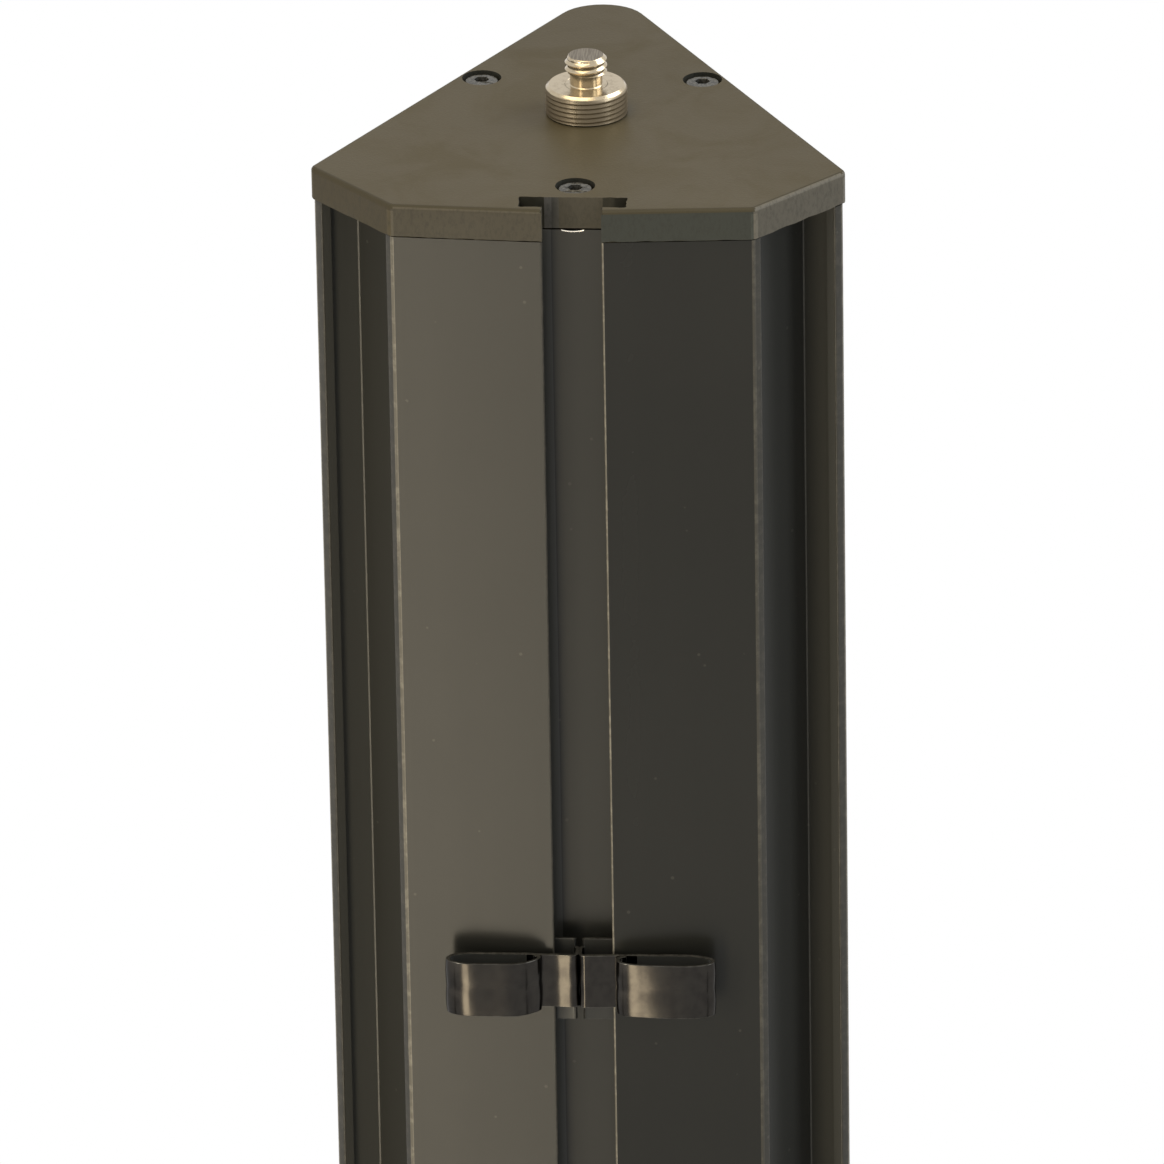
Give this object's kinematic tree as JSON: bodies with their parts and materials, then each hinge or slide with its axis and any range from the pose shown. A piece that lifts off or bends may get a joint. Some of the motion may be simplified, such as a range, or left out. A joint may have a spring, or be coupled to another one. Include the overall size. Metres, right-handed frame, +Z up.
{
  "type": "keyboard stand",
  "caption": "Column keyboard stand: slotted triangular column with capped top and boom thread, folding legs, and clamped, tilting arms that slide in the corner channels.",
  "frame": {"origin": "on the floor, under the middle of the stand's overall box", "axes": "+Z up along the column, -Y towards the player, which is the side with the T slot, +X to the right as seen from there"},
  "size_m": [0.783, 0.7402, 1.2312],
  "materials": {
    "black_anodised": "black anodised, satin, faint lengthwise grain",
    "black_plastic": "fine matt moulding texture",
    "dark_steel": "black oxide, semi-gloss",
    "nickel": "bright nickel plate",
    "zinc": "zinc plate",
    "painted_casting": "black powder coat on a die casting",
    "black_tube": "black anodised tube",
    "rubber": "matt rubber"
  },
  "bodies": {
    "column_and_base": {"column": "black_anodised", "top_cap": "black_plastic", "cap_screw_front": "dark_steel", "cap_screw_left": "dark_steel", "cap_screw_right": "dark_steel", "boom_collar": "nickel", "boom_stud": "nickel", "boom_washer": "zinc", "boom_nut": "zinc", "base_casting": "painted_casting", "base_screw_front": "zinc", "base_screw_left": "zinc", "base_screw_right": "zinc", "leg_pivot_pin_front_left": "zinc", "leg_pivot_pin_front_right": "zinc", "leg_pivot_pin_rear_left": "zinc", "leg_pivot_pin_rear_right": "zinc"},
    "leg_front_left": {"leg_tube_front_left": "black_tube", "leg_knuckle_front_left": "black_plastic", "leg_foot_front_left": "rubber"},
    "leg_front_right": {"leg_tube_front_right": "black_tube", "leg_knuckle_front_right": "black_plastic", "leg_foot_front_right": "rubber"},
    "leg_rear_left": {"leg_tube_rear_left": "black_tube", "leg_knuckle_rear_left": "black_plastic", "leg_foot_rear_left": "rubber"},
    "leg_rear_right": {"leg_tube_rear_right": "black_tube", "leg_knuckle_rear_right": "black_plastic", "leg_foot_rear_right": "rubber"},
    "carriage_lower_left": {"arm_bracket_lower_left": "painted_casting", "channel_nut_lower_left": "zinc", "arm_pivot_pin_lower_left": "zinc"},
    "carriage_lower_right": {"arm_bracket_lower_right": "painted_casting", "channel_nut_lower_right": "zinc", "arm_pivot_pin_lower_right": "zinc"},
    "carriage_upper_left": {"arm_bracket_upper_left": "painted_casting", "channel_nut_upper_left": "zinc", "arm_pivot_pin_upper_left": "zinc"},
    "carriage_upper_right": {"arm_bracket_upper_right": "painted_casting", "channel_nut_upper_right": "zinc", "arm_pivot_pin_upper_right": "zinc"},
    "knob_lower_left": {"clamp_knob_lower_left": "black_plastic"},
    "knob_lower_right": {"clamp_knob_lower_right": "black_plastic"},
    "knob_upper_left": {"clamp_knob_upper_left": "black_plastic"},
    "knob_upper_right": {"clamp_knob_upper_right": "black_plastic"},
    "arm_lower_left": {"arm_tube_lower_left": "black_tube", "arm_pad_lower_left": "rubber", "arm_end_cap_lower_left": "black_plastic"},
    "arm_lower_right": {"arm_tube_lower_right": "black_tube", "arm_pad_lower_right": "rubber", "arm_end_cap_lower_right": "black_plastic"},
    "arm_upper_left": {"arm_tube_upper_left": "black_tube", "arm_pad_upper_left": "rubber", "arm_end_cap_upper_left": "black_plastic"},
    "arm_upper_right": {"arm_tube_upper_right": "black_tube", "arm_pad_upper_right": "rubber", "arm_end_cap_upper_right": "black_plastic"},
    "clip_upper": {"cable_clip_upper": "dark_steel"},
    "clip_lower": {"cable_clip_lower": "dark_steel"}
  },
  "joints": [
    {"name": "leg_fold_front_left", "type": "hinge", "parent": "column_and_base", "child": "leg_front_left", "pos_m": [-0.05798, -0.07306, 0.0393], "axis": [-0.6621, 0.7494, 0], "range_deg": [0, 90]},
    {"name": "leg_fold_front_right", "type": "hinge", "parent": "column_and_base", "child": "leg_front_right", "pos_m": [0.05798, -0.07306, 0.0393], "axis": [-0.6621, -0.7494, 0], "range_deg": [0, 90]},
    {"name": "leg_fold_rear_left", "type": "hinge", "parent": "column_and_base", "child": "leg_rear_left", "pos_m": [-0.03789, 0.03228, 0.0393], "axis": [0.8192, 0.5736, 0], "range_deg": [0, 90]},
    {"name": "leg_fold_rear_right", "type": "hinge", "parent": "column_and_base", "child": "leg_rear_right", "pos_m": [0.03789, 0.03228, 0.0393], "axis": [0.8192, -0.5736, 0], "range_deg": [0, 90]},
    {"name": "arm_height_lower_left", "type": "slide", "parent": "column_and_base", "child": "carriage_lower_left", "axis": [0, 0, 1], "range_m": [-0.08, 0.055]},
    {"name": "arm_height_lower_right", "type": "slide", "parent": "column_and_base", "child": "carriage_lower_right", "axis": [0, 0, 1], "range_m": [-0.08, 0.055]},
    {"name": "arm_height_upper_left", "type": "slide", "parent": "column_and_base", "child": "carriage_upper_left", "axis": [0, 0, 1], "range_m": [0, 0.21]},
    {"name": "arm_height_upper_right", "type": "slide", "parent": "column_and_base", "child": "carriage_upper_right", "axis": [0, 0, 1], "range_m": [0, 0.21]},
    {"name": "knob_turn_lower_left", "type": "hinge", "parent": "carriage_lower_left", "child": "knob_lower_left", "pos_m": [-0.04257, -0.05727, 0.642], "axis": [-0.7494, -0.6621, 0], "continuous": true},
    {"name": "knob_turn_lower_right", "type": "hinge", "parent": "carriage_lower_right", "child": "knob_lower_right", "pos_m": [0.04257, -0.05727, 0.642], "axis": [0.7494, -0.6621, 0], "continuous": true},
    {"name": "knob_turn_upper_left", "type": "hinge", "parent": "carriage_upper_left", "child": "knob_upper_left", "pos_m": [-0.04257, -0.05727, 0.942], "axis": [-0.7494, -0.6621, 0], "continuous": true},
    {"name": "knob_turn_upper_right", "type": "hinge", "parent": "carriage_upper_right", "child": "knob_upper_right", "pos_m": [0.04257, -0.05727, 0.942], "axis": [0.7494, -0.6621, 0], "continuous": true},
    {"name": "arm_tilt_lower_left", "type": "hinge", "parent": "carriage_lower_left", "child": "arm_lower_left", "pos_m": [-0.06378, -0.07601, 0.6], "axis": [-0.6621, 0.7494, 0], "range_deg": [-5, 25]},
    {"name": "arm_tilt_lower_right", "type": "hinge", "parent": "carriage_lower_right", "child": "arm_lower_right", "pos_m": [0.06378, -0.07601, 0.6], "axis": [-0.6621, -0.7494, 0], "range_deg": [-5, 25]},
    {"name": "arm_tilt_upper_left", "type": "hinge", "parent": "carriage_upper_left", "child": "arm_upper_left", "pos_m": [-0.06378, -0.07601, 0.9], "axis": [-0.6621, 0.7494, 0], "range_deg": [-5, 25]},
    {"name": "arm_tilt_upper_right", "type": "hinge", "parent": "carriage_upper_right", "child": "arm_upper_right", "pos_m": [0.06378, -0.07601, 0.9], "axis": [-0.6621, -0.7494, 0], "range_deg": [-5, 25]},
    {"name": "clip_slide_upper", "type": "slide", "parent": "column_and_base", "child": "clip_upper", "axis": [0, 0, 1], "range_m": [-0.15, 0.1]},
    {"name": "clip_slide_lower", "type": "slide", "parent": "column_and_base", "child": "clip_lower", "axis": [0, 0, 1], "range_m": [-0.1, 0.2]}
  ]
}
